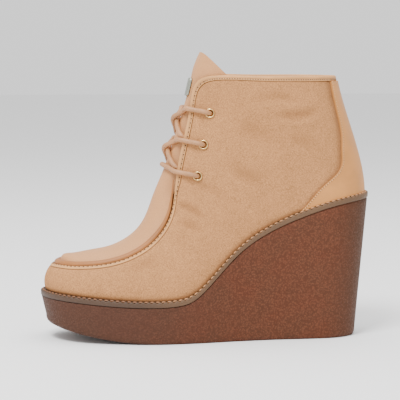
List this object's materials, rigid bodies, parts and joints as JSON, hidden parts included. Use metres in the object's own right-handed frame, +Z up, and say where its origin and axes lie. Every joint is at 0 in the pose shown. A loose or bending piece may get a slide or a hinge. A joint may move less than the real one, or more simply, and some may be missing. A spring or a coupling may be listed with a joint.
{
  "type": "lace-up wedge ankle boot",
  "caption": "Left lace-up ankle boot with a moccasin toe seam, laced throat over a tall tongue, smooth heel counter, welt strip and a high crepe wedge sole.",
  "frame": {"origin": "on the floor, at the centre of the footprint's box", "axes": "+Z up, toe towards -X and heel towards +X, the outer (lateral) side towards -Y"},
  "size_m": [0.2484, 0.092, 0.2143],
  "materials": {
    "crepe": "matt reddish-brown crepe rubber with a fine pebbled grain",
    "welt": "satin tan strip with stitch notches",
    "lining": "matt pale lining leather",
    "suede": "light tan suede with a fine speckled nap",
    "nubuck": "pale smooth nubuck",
    "smooth_leather": "smooth tan leather, soft sheen",
    "eyelet_metal": "pale gold, polished",
    "lace": "round waxed tan lace",
    "plate_metal": "plain satin grey-green metal"
  },
  "bodies": {
    "root": {"wedge_sole": "crepe", "welt": "welt", "insole": "lining", "upper": "suede", "apron_tongue": "nubuck", "apron_ridge": "smooth_leather", "collar_binding": "smooth_leather", "heel_counter": "smooth_leather", "eyelet_lateral_1": "eyelet_metal", "eyelet_lateral_2": "eyelet_metal", "eyelet_lateral_3": "eyelet_metal", "eyelet_medial_1": "eyelet_metal", "eyelet_medial_2": "eyelet_metal", "eyelet_medial_3": "eyelet_metal", "lace_bar": "lace", "lace_cross_low": "lace", "lace_cross_high": "lace", "tongue_plate": "plate_metal"}
  },
  "joints": []
}
